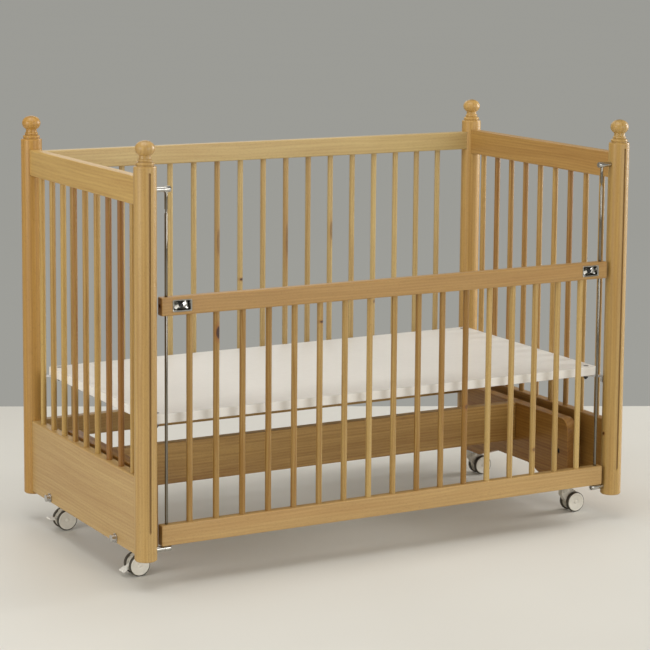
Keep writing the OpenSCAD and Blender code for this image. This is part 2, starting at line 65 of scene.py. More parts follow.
BODY = {n: b for b, ns in frame["record"]["behaviour"]["bodies"].items() for n in ns}
UNIT = {"X": (1, 0, 0), "Y": (0, 1, 0), "Z": (0, 0, 1)}


def place(name, data):
    """A new object in the scene."""
    o = bpy.data.objects.new(name, data)
    bpy.context.scene.collection.objects.link(o)
    return o


# ------------------------------------------------------------------ camera
YAW, PITCH, ROLL = (math.radians(a) for a in (29.30, 7.487, 0.5155))
EYE = (-2.5631, -4.6225, 1.4590)


def make_camera():
    ahead = Vector((math.sin(YAW) * math.cos(PITCH), math.cos(YAW) * math.cos(PITCH), -math.sin(PITCH)))
    level = Vector((math.cos(YAW), -math.sin(YAW), 0))
    above = level.cross(ahead)
    right = math.cos(ROLL) * level + math.sin(ROLL) * above
    top = -math.sin(ROLL) * level + math.cos(ROLL) * above
    data = bpy.data.cameras.new("camera")
    cam = place("camera", data)
    cam.matrix_world = Matrix.Translation(EYE) @ Matrix((right, top, -ahead)).transposed().to_4x4()
    data.sensor_fit = "HORIZONTAL"
    data.sensor_width = 36
    data.lens = 121.74
    data.shift_x = -0.0182
    data.shift_y = -0.1732
    data.clip_end = 100
    bpy.context.scene.camera = cam


make_camera()


# --------------------------------------------------------------- materials
class Tree:
    """A short way to write node trees."""

    def __init__(self, name):
        self.mat = bpy.data.materials.new(name)
        self.mat.use_nodes = True
        self.t = self.mat.node_tree
        self.t.nodes.clear()
        self.out = self.t.nodes.new("ShaderNodeOutputMaterial")
        self.bsdf = self.t.nodes.new("ShaderNodeBsdfPrincipled")
        self.t.links.new(self.bsdf.outputs[0], self.out.inputs[0])
        self.coord = None

    def put(self, sock, v):
        if v is None:
            return
        if isinstance(v, bpy.types.NodeSocket):
            self.t.links.new(v, sock)
        elif isinstance(v, (tuple, list)) and len(v) == 3 and sock.type == "RGBA":
            sock.default_value = (*v, 1)
        else:
            sock.default_value = v

    def set(self, **kw):
        for k, v in kw.items():
            self.put(self.bsdf.inputs[k.replace("_", " ")], v)

    def obj(self):
        if self.coord is None:
            self.coord = self.t.nodes.new("ShaderNodeTexCoord").outputs["Object"]
        return self.coord

    def math(self, op, a, b=None, clamp=False):
        n = self.t.nodes.new("ShaderNodeMath")
        n.operation = op
        n.use_clamp = clamp
        self.put(n.inputs[0], a)
        self.put(n.inputs[1], b)
        return n.outputs[0]

    def vec(self, op, a, b=None, scale=None):
        n = self.t.nodes.new("ShaderNodeVectorMath")
        n.operation = op
        self.put(n.inputs[0], a)
        self.put(n.inputs[1], b)
        if scale is not None:
            self.put(n.inputs["Scale"], scale)
        return n.outputs["Value"] if op in ("LENGTH", "DOT_PRODUCT") else n.outputs[0]

    def noise(self, v, scale=1.0, detail=2.0, rough=0.5):
        n = self.t.nodes.new("ShaderNodeTexNoise")
        self.put(n.inputs["Vector"], v)
        n.inputs["Scale"].default_value = scale
        n.inputs["Detail"].default_value = detail
        n.inputs["Roughness"].default_value = rough
        return n.outputs["Fac"]

    def remap(self, v, a, b, c=0.0, d=1.0, smooth=False):
        """Takes a..b to c..d, clamped at both ends."""
        n = self.t.nodes.new("ShaderNodeMapRange")
        n.clamp = True
        if smooth:
            n.interpolation_type = "SMOOTHSTEP"
        self.put(n.inputs[0], v)
        for i, x in enumerate((a, b, c, d)):
            self.put(n.inputs[1 + i], x)
        return n.outputs[0]

    def mix(self, fac, a, b):
        n = self.t.nodes.new("ShaderNodeMix")
        n.data_type = "RGBA"
        self.put(n.inputs[0], fac)
        self.put(n.inputs[6], a)
        self.put(n.inputs[7], b)
        return n.outputs[2]

    def attr(self, name):
        n = self.t.nodes.new("ShaderNodeAttribute")
        n.attribute_name = name
        return n

    def facing(self, axis):
        """1 where the surface faces along axis, and 0 where it lies along it."""
        n = self.t.nodes.new("ShaderNodeNewGeometry")
        return self.math("ABSOLUTE", self.vec("DOT_PRODUCT", n.outputs["True Normal"], UNIT[axis]))

    def bump(self, height, strength, distance):
        n = self.t.nodes.new("ShaderNodeBump")
        n.inputs["Strength"].default_value = strength
        n.inputs["Distance"].default_value = distance
        self.put(n.inputs["Height"], height)
        return n.outputs[0]


def lin(r, g, b):
    """A display colour, 0 to 255, as a linear one."""

    def f(c):
        c /= 255
        return c / 12.92 if c <= 0.04045 else ((c + 0.055) / 1.055) ** 2.4

    return (f(r), f(g), f(b))


def tint(color, by):
    """A colour times a number, or times another colour."""
    return tuple(c * k for c, k in zip(color, by if isinstance(by, tuple) else (by,) * 3))


STAIN = (0.888, 0.872, 0.755)  # warm tint of the lacquer, over every wood colour
TURN = {"X": (0, 0, 0), "Y": (0, 0, -math.pi / 2), "Z": (0, math.pi / 2, 0)}  # brings the grain to X
# how fast each layer of the figure changes, per metre: along the grain and twice across it
WANDER, BROAD, HUE = (1.6, 7.0, 7.0), (1.3, 13, 13), (2.1, 31, 31)
STREAK, FIBRE, FLECK = (3.2, 150, 150), (30, 1500, 1500), (260, 2100, 2100)
# where painted shade darkens the stopped flute of a post: the distance of its centre line from the post's, its
# radius and the end of its soft edge, and the heights where it starts and stops
FLUTE_OUT, FLUTE_R, FLUTE_SOFT = 24.5 * MM, 2.35 * MM, 2.9 * MM
FLUTE_FOOT, FLUTE_TOP = (0.133, 0.136), (0.927, 0.925)


def wood(name, axis, seed, base, dark, red=0.25, dark_spots=(), pith=(0.06, 0.11), rough=0.42, many=False,
         figure=1.0, flute=None, end_mix=0.45):
    """Lacquered beech. The grain runs along axis; many means that each solid carries its own seed and tone.
    red is how much of it turns redder, figure the contrast of the grain, end_mix the darkness of end grain."""
    t = Tree(name)
    base, dark = tint(base, STAIN), tint(dark, STAIN)
    p = t.obj()
    rot = t.t.nodes.new("ShaderNodeMapping")
    rot.inputs["Rotation"].default_value = TURN[axis]
    t.put(rot.inputs[0], p)
    v = rot.outputs[0]
    tone = None
    if many:
        v = t.vec("ADD", v, t.attr("seed").outputs["Vector"])
        tone = t.attr("tone").outputs["Fac"]
    v = t.vec("ADD", v, (seed * 1.713, seed * 0.397, seed * 0.831))
    # slow wander of the grain
    w = t.t.nodes.new("ShaderNodeTexNoise")
    w.inputs["Scale"].default_value = 1.0
    w.inputs["Detail"].default_value = 2
    t.put(w.inputs["Vector"], t.vec("MULTIPLY", v, WANDER))
    wander = t.vec("SCALE", t.vec("SUBTRACT", w.outputs["Color"], (0.5, 0.5, 0.5)), scale=0.030)
    g = t.vec("ADD", v, wander)
    # growth rings round a pith outside the board
    ring = t.t.nodes.new("ShaderNodeTexWave")
    ring.wave_type = "RINGS"
    ring.rings_direction = "X"
    ring.inputs["Scale"].default_value = 46
    ring.inputs["Distortion"].default_value = 1.6
    ring.inputs["Detail"].default_value = 2.5
    ring.inputs["Detail Scale"].default_value = 0.35
    t.put(ring.inputs["Vector"], t.vec("MULTIPLY", t.vec("ADD", g, (0, *pith)), (0.05, 1, 1)))
    rings = ring.outputs["Fac"]
    broad = t.noise(t.vec("MULTIPLY", g, BROAD))
    streak = t.noise(t.vec("MULTIPLY", g, STREAK), 1, 3, 0.55)
    fibre = t.noise(t.vec("MULTIPLY", g, FIBRE), 1, 2, 0.6)
    flecks = t.remap(t.noise(t.vec("MULTIPLY", g, FLECK), 1, 0), 0.66, 0.73)
    # colour
    f = t.math("MULTIPLY", rings, 0.22)
    f = t.math("ADD", f, t.math("MULTIPLY", t.remap(streak, 0.32, 0.68), 0.44))
    f = t.math("ADD", f, t.math("MULTIPLY", t.remap(broad, 0.3, 0.7), 0.30))
    f = t.math("ADD", f, t.math("MULTIPLY", t.math("SUBTRACT", fibre, 0.5), 0.45))
    if figure != 1.0:
        f = t.math("ADD", t.math("MULTIPLY", t.math("SUBTRACT", f, 0.46), figure), 0.46)
    if tone is not None:
        f = t.math("ADD", f, tone)
    col = t.mix(t.math("MULTIPLY", f, 0.75, clamp=True), base, dark)
    hue = t.noise(t.vec("MULTIPLY", g, HUE))
    redder = t.math("MULTIPLY", t.remap(hue, 0.42, 0.72, smooth=True), red)
    col = t.mix(redder, col, tint(dark, (1.12, 0.86, 0.72)))
    col = t.mix(t.math("MULTIPLY", flecks, 0.42), col, tint(dark, 0.45))
    # knots, and painted shade in small bores: place, length along the grain, width across it, darkness
    for kx, ky, kz, ln, wd, amount in dark_spots:
        d = t.vec("SUBTRACT", t.obj(), (kx, ky, kz))
        d = t.vec("LENGTH", t.vec("MULTIPLY", d, tuple(1 / ln if along else 1 / wd for along in UNIT[axis])))
        d = t.math("ADD", d, t.math("MULTIPLY", t.math("SUBTRACT", streak, 0.5), 0.9))
        halo = t.math("MULTIPLY", t.remap(d, 2.4, 0.8, smooth=True), 0.65 * amount)
        col = t.mix(halo, col, tint(dark, (0.90, 0.52, 0.28)))
        core = t.math("MULTIPLY", t.remap(d, 1.15, 0.75, smooth=True), amount)
        col = t.mix(core, col, tint(dark, (0.14, 0.05, 0.01)))
    if flute:
        # painted shade: the flute's groove is darkened, standing in for the shade inside it
        d = t.vec("LENGTH", t.vec("MULTIPLY", t.vec("SUBTRACT", t.obj(), (*flute, 0)), (1, 1, 0)))
        z = t.t.nodes.new("ShaderNodeSeparateXYZ")
        t.put(z.inputs[0], t.obj())
        flute_shade = t.math("MULTIPLY", t.remap(d, FLUTE_SOFT, FLUTE_R), t.remap(z.outputs[2], *FLUTE_FOOT))
        flute_shade = t.math("MULTIPLY", flute_shade, t.remap(z.outputs[2], *FLUTE_TOP))
        col = t.mix(t.math("MULTIPLY", flute_shade, 0.5), col, tint(dark, (0.42, 0.34, 0.25)))
    # end grain
    col = t.mix(t.remap(t.facing(axis), 0.80, 0.97, 0, end_mix), col, tint(dark, 0.55))
    r = t.math("ADD", t.math("MULTIPLY", streak, 0.12), t.math("MULTIPLY", flecks, 0.08))
    r = t.math("ADD", r, rough - 0.06)
    h = t.math("ADD", t.math("MULTIPLY", fibre, 0.5), t.math("MULTIPLY", rings, 0.12))
    h = t.math("SUBTRACT", h, t.math("MULTIPLY", flecks, 0.5))
    t.set(Base_Color=col, Roughness=r, Normal=t.bump(h, 0.16, 0.0004))
    t.set(Coat_Weight=0.12, Coat_Roughness=0.25)
    return t.mat


def laminate(name):
    """White board of the platform, matt; its sides are made whiter, as painted light."""
    t = Tree(name)
    p = t.obj()
    cloud = t.noise(p, 2.3, 3)
    speck = t.noise(p, 900, 1)
    col = t.mix(t.remap(cloud, 0.35, 0.65), lin(221, 218, 211), lin(214, 211, 204))
    painted_edge_light = t.remap(t.facing("Z"), 0.7, 0.3)
    col = t.mix(painted_edge_light, col, lin(246, 244, 238))  # painted light: the board's sides are made whiter
    col = t.mix(t.math("MULTIPLY", t.remap(speck, 0.62, 0.75), 0.25), col, lin(188, 183, 175))
    r = t.remap(t.noise(p, 60, 3), 0.3, 0.7, 0.36, 0.46)
    t.set(Base_Color=col, Roughness=r, Normal=t.bump(t.noise(p, 700, 2), 0.10, 0.0003))
    return t.mat


def metal(name, color, rough, grain, marks, aniso=0.0):
    """Plated or polished metal. grain stretches the brushing, and marks is how much smears and spots show."""
    t = Tree(name)
    p = t.obj()
    brush = t.noise(t.vec("MULTIPLY", p, grain), 1, 3)
    smear = t.noise(p, 35, 3)
    spots = t.remap(t.noise(p, 420, 2), 0.62, 0.72)
    col = t.mix(t.math("MULTIPLY", t.remap(smear, 0.35, 0.7), 0.25 * marks), color, tint(color, 0.78))
    col = t.mix(t.math("MULTIPLY", spots, 0.12 * marks), col, tint(color, 0.6))
    r = t.math("ADD", t.math("MULTIPLY", brush, 0.10 * marks), t.math("MULTIPLY", smear, 0.07 * marks))
    r = t.math("ADD", r, rough)
    t.set(Base_Color=col, Metallic=1.0, Roughness=r, Normal=t.bump(brush, 0.05 * marks, 0.0002))
    if aniso:
        t.set(Anisotropic=aniso)
    return t.mat


def plastic(name, color, rough, var=0.06, grain=900, strength=0.12):
    """Moulded plastic or rubber with a fine texture. var is how much its colour wanders."""
    t = Tree(name)
    p = t.obj()
    cloud = t.remap(t.noise(p, 60, 3), 0.3, 0.7)
    col = t.mix(cloud, tint(color, 1 - var), tint(color, 1 + var))
    dirt = t.remap(t.noise(p, 240, 3), 0.60, 0.75)
    col = t.mix(t.math("MULTIPLY", dirt, 0.12), col, tint(color, 0.55))
    r = t.remap(t.noise(p, 320, 2), 0.3, 0.7, rough - 0.05, rough + 0.05)
    t.set(Base_Color=col, Roughness=r, Normal=t.bump(t.noise(p, grain, 2), strength, 0.0003))
    return t.mat


M = {
    "white": laminate("platform_laminate"),
    "chrome": metal("chrome_plate", (0.56, 0.55, 0.54), 0.06, (40, 40, 40), 0.6),
    # painted shade: the latch's chrome is given a dark base inside the cup and a little less dark one on its
    # rim
    "cup": metal("latch_chrome", (0.33, 0.32, 0.29), 0.16, (60, 60, 60), 0.8),
    "rim": metal("latch_rim", (0.38, 0.37, 0.34), 0.24, (60, 60, 60), 0.8),
    # painted highlight: a brighter base than the chrome plate, so that the grip's lobes shine over more of
    # their area
    "grip": metal("grip_chrome", (0.82, 0.81, 0.78), 0.17, (60, 60, 60), 0.6),
    "hub": plastic("grip_hub", (0.010, 0.009, 0.008), 0.50),
    # painted dark reflection: a dark base for the rods, standing in for the dark surroundings that polished
    # chrome reflects
    "rod": metal("polished_rod", (0.20, 0.185, 0.155), 0.09, (900, 900, 14), 1.0),
    "pin": metal("pin_chrome", (0.48, 0.47, 0.44), 0.12, (60, 60, 60), 0.8),
    "steel": metal("zinc_steel", (0.60, 0.60, 0.61), 0.26, (300, 300, 300), 1.0, aniso=0.3),
    "black": metal("black_steel", (0.06, 0.06, 0.065), 0.38, (60, 60, 60), 1.0),
    "grey": plastic("caster_plastic", lin(202, 197, 184), 0.36),
    "disc": plastic("wheel_plastic", lin(228, 224, 212), 0.34),
    "tyre": plastic("tyre_rubber", lin(66, 60, 48), 0.55, var=0.15, grain=1500, strength=0.3),
    "tab": plastic("tab_plastic", lin(242, 240, 232), 0.34),
}


# ---------------------------------------------------------------- geometry
def make(name, bm, mat, body, sharp=35, flat_normals=False):
    """Turns a bmesh into a smooth-shaded object riding on a CAD body."""
    bmesh.ops.recalc_face_normals(bm, faces=bm.faces)
    for f in bm.faces:
        f.smooth = True
    me = bpy.data.meshes.new(name)
    bm.to_mesh(me)
    bm.free()
    me.set_sharp_from_angle(angle=math.radians(sharp))
    o = place(name, me)
    me.materials.append(mat)
    if flat_normals:
        m = o.modifiers.new("weighted", "WEIGHTED_NORMAL")
        m.keep_sharp = True
    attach(o, body)
    return o


def skin(bm, p, q):
    """One band of faces between two closed rows of points. A row of one point makes a fan."""
    n = max(len(p), len(q))
    for k in range(n):
        m = (k + 1) % n
        if len(p) == 1:
            bm.faces.new((p[0], q[m], q[k]))
        elif len(q) == 1:
            bm.faces.new((p[k], p[m], q[0]))
        else:
            bm.faces.new((p[k], p[m], q[m], q[k]))


def loft(bm, loops):
    """Skins a list of closed point loops of equal length, and caps both ends."""
    rows = [[bm.verts.new(p) for p in loop] for loop in loops]
    for p, q in zip(rows, rows[1:]):
        skin(bm, p, q)
    bm.faces.new(list(reversed(rows[0])))
    bm.faces.new(rows[-1])


def lathe(bm, profile, centre, axis, segs):
    """Turns (radius, position along axis) pairs round an axis through centre. Radius 0 closes the end."""
    c = Vector(centre)
    a = Vector(UNIT[axis])
    u = Vector(UNIT["X" if axis == "Z" else "Z"])
    w = a.cross(u)
    rows = []
    for r, h in profile:
        if r < 1e-7:
            rows.append([bm.verts.new(c + a * h)])
        else:
            rows.append([bm.verts.new(c + a * h + (u * math.cos(t) + w * math.sin(t)) * r)
                         for t in (2 * math.pi * k / segs for k in range(segs))])
    for p, q in zip(rows, rows[1:]):
        skin(bm, p, q)
    return rows


NEAR = 2e-5  # two places in metres closer than this are the same
WELD = 3e-6  # corners of a CAD mesh closer than this are one


def flat_at(e, k, w):
    """True where both ends of an edge lie at w on axis k."""
    return all(abs(v.co[k] - w) < NEAR for v in e.verts)


def on_box(lo, hi):
    """Picks the edges that lie on an edge of the box."""
    return lambda e: sum(flat_at(e, k, w) for k in range(3) for w in (lo[k], hi[k])) >= 2


def soften(node, name, radius, mat, pick=None):
    """A copy of a CAD board with the edges that pick chooses rounded, in place of the square one."""
    lo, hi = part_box(node)
    bm = bmesh.new()
    bm.from_mesh(NODES[node].data)
    bmesh.ops.remove_doubles(bm, verts=bm.verts, dist=WELD)
    bmesh.ops.dissolve_limit(bm, angle_limit=math.radians(0.5), verts=bm.verts, edges=bm.edges)
    pick = pick or on_box(lo, hi)
    corner = math.radians(50)
    edges = [e for e in bm.edges if len(e.link_faces) == 2 and e.calc_face_angle() > corner and pick(e)]
    bmesh.ops.bevel(bm, geom=edges, offset=radius, offset_type="OFFSET", segments=3, profile=0.5,
                    affect="EDGES", clamp_overlap=True)
    o = make(name, bm, mat, BODY[node], flat_normals=True)
    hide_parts(node)


def paint(o, mat):
    o.data.materials.clear()
    o.data.materials.append(mat)


def bevel_cad(names, width, mat=None, segs=2, angle=40):
    """Eases the edges of carried-over CAD nodes with modifiers; their meshes stay as they are."""
    for n in names.split():
        o = NODES[n]
        w = o.modifiers.new("weld", "WELD")
        w.merge_threshold = WELD
        b = o.modifiers.new("ease", "BEVEL")
        b.width = width
        b.segments = segs
        b.limit_method = "ANGLE"
        b.angle_limit = math.radians(angle)
        b.use_clamp_overlap = True
        if mat:
            paint(o, mat)


# ------------------------------------------------------------------- posts
TAN, TAN_D = lin(203, 168, 106), lin(156, 114, 58)
POST_X, POST_Y, SPARE_HOLE_Z = 0.628, 0.331, 0.221  # centre lines of the posts, and a hole in post_FR
# light and dark of the wood, and how much of it turns redder
POSTS = {
    "post_FL": (lin(206, 172, 112), lin(160, 120, 62), 0.15),
    "post_FR": (lin(200, 166, 101), lin(156, 117, 57), 0.15),
    "post_BL": (lin(203, 159, 84), lin(157, 110, 45), 0.05),
    "post_BR": (lin(208, 170, 102), lin(164, 120, 58), 0.15),
}
for i, (n, (a, b, r)) in enumerate(POSTS.items()):
    sx, sy = (1 if n[6] == "R" else -1), (1 if n[5] == "B" else -1)
    # the flute's centre line, along which painted shade darkens the post
    flute = (sx * POST_X, sy * (POST_Y + FLUTE_OUT))
    hole = ()
    # painted shade: a dark spot in the spare hole of post_FR
    if n == "post_FR":
        hole = [(POST_X - 25 * MM, -POST_Y, SPARE_HOLE_Z, 3.7 * MM, 3.7 * MM, 1.0)]
    mat = wood("wood_" + n, "Z", 3.1 + i * 2.3, a, b, red=r, pith=(0.05, 0.09), dark_spots=hole, flute=flute)
    paint(NODES[n], mat)

# -------------------------------------------------------- rails and boards
BORE_X, BORE_Z = 0.5945, 0.631  # where the latch bolts leave the ends of the side top rail
for i, (n, axis, a, b, r, edge) in enumerate((
    ("end_top_rail_L", "Y", lin(209, 174, 108), lin(168, 126, 64), 0.1, 3.0),
    ("end_top_rail_R", "Y", lin(196, 156, 92), lin(150, 106, 48), 0.15, 3.0),
    ("end_board_L", "Y", lin(204, 172, 118), lin(166, 126, 74), 0.1, 3.0),
    # darker and more orange than the left board: partly its own tone, partly painted shade of its inner face
    # under the platform
    ("end_board_R", "Y", lin(190, 147, 80), lin(143, 97, 40), 0.15, 3.0),
    ("back_top_rail", "X", lin(208, 185, 134), lin(173, 140, 90), 0.1, 3.0),
    ("back_bottom_rail", "X", TAN, TAN_D, 0.2, 3.0),
    ("side_top_rail", "X", lin(191, 152, 94), lin(151, 108, 53), 0.14, 3.0),
    ("side_bottom_rail", "X", lin(207, 172, 117), lin(167, 127, 74), 0.15, 3.0),
    ("stretcher", "X", lin(194, 156, 92), lin(144, 100, 44), 0.1, 2.5),
)):
    bores = ()
    # painted shade: a dark spot at each bore where a latch bolt leaves the side top rail
    if n == "side_top_rail":
        bores = [(sx * BORE_X, -POST_Y, BORE_Z, 5.6 * MM, 5.6 * MM, 1.0) for sx in (-1, 1)]
    mat = wood("wood_" + n, axis, 5.7 + i * 1.9, a, b, red=r, dark_spots=bores,
               figure=1.6 if n == "stretcher" else 1.1, end_mix=0.7 if n.startswith("side") else 0.45)
    soften(n, n + "_wood", edge * MM, mat)
for i, n in enumerate(("carrier_L", "carrier_R")):
    lo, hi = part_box(n)

    def outline(e, lo=lo, hi=hi):
        """The edges of both broad faces, apart from those of the small bores."""
        return (flat_at(e, 0, lo.x) or flat_at(e, 0, hi.x)) and e.calc_length() > 1.6 * MM

    # painted shade: darker, more saturated wood than the other boards, for the carriers under the platform
    mat = wood("wood_" + n, "Y", 21.3 + i * 1.9, lin(184, 136, 62), lin(136, 84, 24), red=0.2, figure=1.6)
    soften(n, n + "_wood", 2.0 * MM, mat, outline)
soften("platform", "platform_board", 1.6 * MM, M["white"])


# ---------------------------------------------------------------- spindles
def spindles(node, n, along, tones, base, dark, red, seed, dark_spots=()):
    """One row of turned spindles. tones gives the darkness of each, and knots lists (spindle, height in mm,
    length in mm, amount)."""
    lo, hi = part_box(node)
    r, ease = 7.0 * MM, 1.2 * MM
    bm = bmesh.new()
    sl = bm.verts.layers.float_vector.new("seed")
    tl = bm.verts.layers.float.new("tone")
    rnd = random.Random(seed)
    for k in range(n):
        if along == "X":
            c = (lo.x + r + (hi.x - lo.x - 2 * r) * k / (n - 1), (lo.y + hi.y) / 2)
        else:
            c = ((lo.x + hi.x) / 2, lo.y + r + (hi.y - lo.y - 2 * r) * k / (n - 1))
        zs = [lo.z + ease] + [lo.z + (hi.z - lo.z) * j / 12 for j in range(1, 12)] + [hi.z - ease]
        prof = [(0, lo.z), (r - 1.0 * MM, lo.z)] + [(r, z) for z in zs] + [(r - 1.0 * MM, hi.z), (0, hi.z)]
        rows = lathe(bm, prof, (c[0], c[1], 0), "Z", 40)
        sv = Vector((rnd.uniform(0, 9), rnd.uniform(-0.5, 0.5), rnd.uniform(-0.5, 0.5)))
        tv = tones[k % len(tones)] + rnd.uniform(-0.03, 0.03)
        for row in rows:
            for v in row:
                v[sl] = sv
                v[tl] = tv
    pitch = (hi.x - lo.x - 2 * r) / (n - 1)
    spots = [(lo.x + r + k * pitch + 2 * MM, lo.y + 1 * MM, z * MM, ln * MM, 5.2 * MM, amount)
             for k, z, ln, amount in dark_spots]
    mat = wood("wood_" + node, "Z", seed * 0.37, base, dark, red=red, many=True, dark_spots=spots, rough=0.40)
    o = make(node + "_turned", bm, mat, BODY[node])
    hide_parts(node)


# darkness of each spindle, from left to right or from front to back: beech varies from stick to stick
SIDE_TONES = (0.6, 0.6, 0.75, 0.58, 0.53, 0.5, 0.25, 0.0, 0.38, 0.6, 0.8, 1.0, 0.0, 0.2, 0.15, 0.15, -0.2)
BACK_TONES = (0.1, 0.2, 0.0, 0.05, 0.0, 0.0, 0.45, 0.0, 0.15, 0.3, 0.25, 0.0, 0.1, -0.2, -0.2, 0.0, 0.0)
LEFT_TONES = (0.1, 1.1, 0.8, 0.1, 0.25, 0.45, 0.0, 0.25, 0.0)
RIGHT_TONES = (0.1, 0.1, 0.6, 0.15, 0.4, 0.5, 0.5, 0.7, 0.1)
spindles("side_spindles", 17, "X", SIDE_TONES, lin(212, 182, 121), lin(150, 109, 42), 0.1, 11,
         dark_spots=[(1, 563, 14, 1.0), (5, 566, 3, 0.8), (11, 330, 5, 0.5), (14, 205, 4, 0.5)])
spindles("back_spindles", 17, "X", BACK_TONES, lin(210, 186, 132), lin(154, 118, 66), 0.2, 12,
         dark_spots=[(7, 557, 3, 0.9), (6, 656, 30, 0.35), (9, 649, 45, 0.35), (11, 668, 25, 0.4),
                (13, 470, 4, 0.5)])
spindles("end_spindles_L", 9, "Y", LEFT_TONES, lin(208, 176, 106), lin(146, 98, 32), 0.1, 13)
spindles("end_spindles_R", 9, "Y", RIGHT_TONES, lin(208, 174, 106), lin(144, 98, 34), 0.1, 14)
paint(NODES["spacers"], wood("wood_spacers", "X", 31.0, TAN, TAN_D))
bevel_cad("spacers", 0.6 * MM)


# ---------------------------------------------------------------- hardware
bevel_cad("guide_rod_L guide_rod_R", 0.3 * MM, M["rod"])
bevel_cad("rod_pins", 0.8 * MM, M["pin"], segs=3)
bevel_cad("cap_bolts", 1.6 * MM, M["chrome"], segs=3)
bevel_cad("platform_brackets bracket_screws caster_plates caster_screws", 0.4 * MM, M["steel"])
bevel_cad("platform_bolts platform_nuts stretcher_bolts carrier_bolts", 0.5 * MM, M["black"])


def ring(w, h, r, y, cx, cz, n=6):
    """A rounded rectangle at constant y. Its sizes and y are in mm, and its centre cx, cz is in metres."""
    pts = []
    for qx, qz, a0 in ((1, 1, 0), (-1, 1, 90), (-1, -1, 180), (1, -1, 270)):
        for k in range(n + 1):
            t = math.radians(a0 + 90 * k / n)
            x, z = qx * (w / 2 - r) + r * math.cos(t), qz * (h / 2 - r) + r * math.sin(t)
            pts.append((cx + x * MM, y * MM, cz + z * MM))
    return pts


def latch(side):
    """The pressed cup of a latch, its inside given a darker chrome than its rim as painted shade. Gives the
    centre of the cup.
    """
    lo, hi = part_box("latch_box_" + side)
    cx, cz, y0 = (lo.x + hi.x) / 2, (lo.z + hi.z) / 2, lo.y / MM
    bm = bmesh.new()
    # width, height, corner radius and depth of each ring, from the back, over the rim, to the bottom
    steps = ((41.6, 21.6, 2.4, 16.6), (41.6, 21.6, 2.4, 1.3), (46.6, 26.6, 3.4, 1.3), (47, 27, 3.5, 0.9),
             (46.8, 26.8, 3.4, 0.3), (46.2, 26.2, 3.2, 0.0), (45.6, 25.6, 3.0, 0.1), (41.4, 21.4, 2.4, 1.5),
             (40.8, 20.8, 2.2, 2.6), (39.8, 19.8, 2.2, 9.0), (38.6, 18.6, 2.6, 13.0), (36.6, 16.6, 3.0, 14.8),
             (33.0, 13.0, 3.0, 15.6), (24.0, 6.0, 2.0, 15.7))
    rim_depth = 1.35
    loft(bm, [ring(w, h, r, y0 + d, cx, cz) for w, h, r, d in steps])
    for f in bm.faces:
        f.material_index = int(f.calc_center_median().y < (y0 + rim_depth) * MM)
    cup = make("latch_cup_" + side, bm, M["cup"], "drop_side", sharp=60)
    cup.data.materials.append(M["rim"])
    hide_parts("latch_box_" + side)
    return cx, cz


def wing(side, cx, cz):
    """The moving part of a latch: its twisted finger grip and its bolt in one piece, and the hub between."""
    body = "latch_" + side
    lo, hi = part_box("latch_bolt_" + side)
    yc = -0.3341  # axis of the twist
    half = 16.4  # half of the grip's length in mm
    lobe = 0.72  # the share of it where a lobe gets its full width, before it rounds off to the tip
    steps = 48
    bm = bmesh.new()
    loops = []
    for i in range(steps + 1):
        u = -1 + 2 * i / steps
        flare = min(1.0, abs(u) / lobe) ** 1.6
        tip = math.sqrt(max(0.0, 1 - max(0.0, (abs(u) - lobe) / 0.285) ** 2.6))
        h = (3.4 + 5.6 * flare) * tip + 0.1  # half height
        tilt = -1.4 * u * abs(u)  # one lobe turns up and the other down
        twist = math.radians(-34 * u)
        thick = 1.1 * tip + 0.08
        loop = []
        for k in range(32):
            a = 2 * math.pi * k / 32
            v = math.cos(a)
            dish = 3.6 * flare * v * v + 1.4 * abs(u)  # the rims stand forward of the scooped middle
            y = thick * math.sin(a) + 0.6 - dish * tip
            z = h * v
            loop.append((cx + half * u * MM, yc + (y * math.cos(twist) - z * math.sin(twist)) * MM,
                         cz + (tilt * tip + y * math.sin(twist) + z * math.cos(twist)) * MM))
        loops.append(loop)
    loft(bm, loops)
    a, b = sorted((0.0, (lo.x if side == "L" else hi.x) - cx))
    r, e = 3.0 * MM, 0.6 * MM
    bolt = [(0, a), (r - e, a), (r, a + e), (r, b - e), (r - e, b), (0, b)]
    lathe(bm, bolt, (cx, -POST_Y, cz), "X", 32)
    w = make("latch_wing_" + side, bm, M["grip"], body, sharp=50)
    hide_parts("latch_bolt_" + side)
    bm = bmesh.new()
    prof = [(0, -3.6), (1.6, -3.6), (1.9, -4.3), (3.4, -4.5), (4.4, -4.1), (4.8, -3.4), (4.8, 4.4), (0, 4.4)]
    lathe(bm, [(r * MM, h * MM) for r, h in prof], (cx, yc, cz), "Y", 40)
    make("latch_hub_" + side, bm, M["hub"], body)


for side in "LR":
    wing(side, *latch(side))


# ----------------------------------------------------------------- casters
# (radius, depth behind the outer face) in mm. The disc of a wheel: the axle's dimple and washer, the dished
# face, the groove, the rim's lip, the seat of the tyre, and then the inner face back to the bore
DISC = ((0, 0.3), (3.6, 0.3), (4.3, 0.6), (4.8, 1.3), (5.3, 1.6), (6.0, 1.3), (10, 1.0), (15.6, 0.6),
        (16.6, 0.55), (17.1, 0.85), (17.6, 0.85), (18.1, 0.35), (19.2, 0.1), (22.0, 0.05), (22.3, 0.25),
        (22.5, 0.6), (22.4, 1.1), (22.0, 1.2), (22.0, 8.8), (21.4, 9.6), (19.0, 9.9), (17.5, 8.0), (8.0, 7.4),
        (7.0, 9.9), (3.4, 9.9), (3.4, 1.9), (0, 1.9))
TREAD = ((22.1, 1.3), (22.55, 0.9), (23.2, 0.9), (23.9, 1.2), (24.6, 1.5), (24.95, 2.2), (25.0, 3.4),
         (25.0, 6.6), (24.95, 8.0), (24.6, 9.0), (23.9, 9.6), (23.0, 9.8), (22.4, 9.65), (22.1, 9.1))


